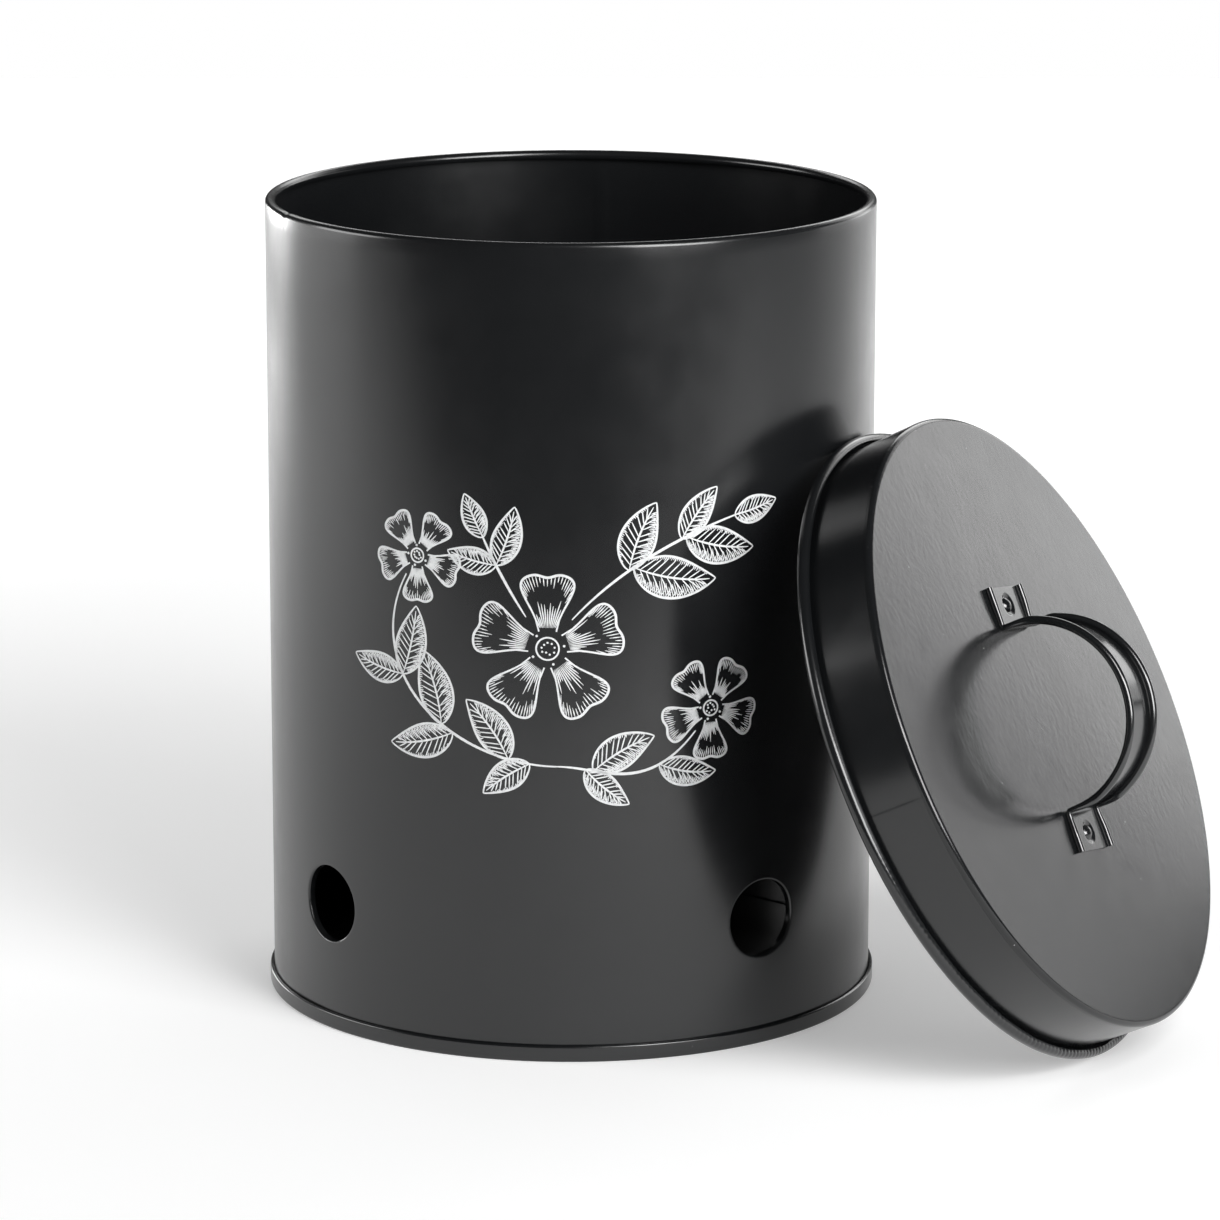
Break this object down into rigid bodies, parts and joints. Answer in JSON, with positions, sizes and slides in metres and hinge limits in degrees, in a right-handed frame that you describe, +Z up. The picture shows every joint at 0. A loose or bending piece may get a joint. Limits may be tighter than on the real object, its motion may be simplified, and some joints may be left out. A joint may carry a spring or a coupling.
{
  "type": "kitchen storage bin",
  "caption": "Round sheet-metal storage bin with vents near its base and a slip-over lid with a strap handle, shown off and leaning on its side.",
  "frame": {"origin": "centre of the base seam's foot, on the floor", "axes": "+Z up along the bin's axis; the printed front faces -Y; the lid leans on the side between +X and -Y"},
  "size_m": [0.3764, 0.3254, 0.318],
  "materials": {
    "body_wall": "satin black powder coat over steel",
    "base_pan": "satin black powder coat over steel",
    "lid_panel": "satin black powder coat over steel",
    "lid_skirt": "satin black powder coat over steel",
    "handle_strap": "satin black powder coat over steel",
    "rivet_upper": "satin black powder coat over steel",
    "rivet_lower": "satin black powder coat over steel"
  },
  "bodies": {
    "bin": {"body_wall": "body_wall", "base_pan": "base_pan"},
    "lid": {"lid_panel": "lid_panel", "lid_skirt": "lid_skirt", "handle_strap": "handle_strap", "rivet_upper": "rivet_upper", "rivet_lower": "rivet_lower"}
  },
  "joints": [
    {"name": "lid_lift_away", "type": "slide", "parent": "bin", "child": "lid", "axis": [0.8126, -0.3824, 0.4399], "range_m": [0, 0.3]}
  ]
}
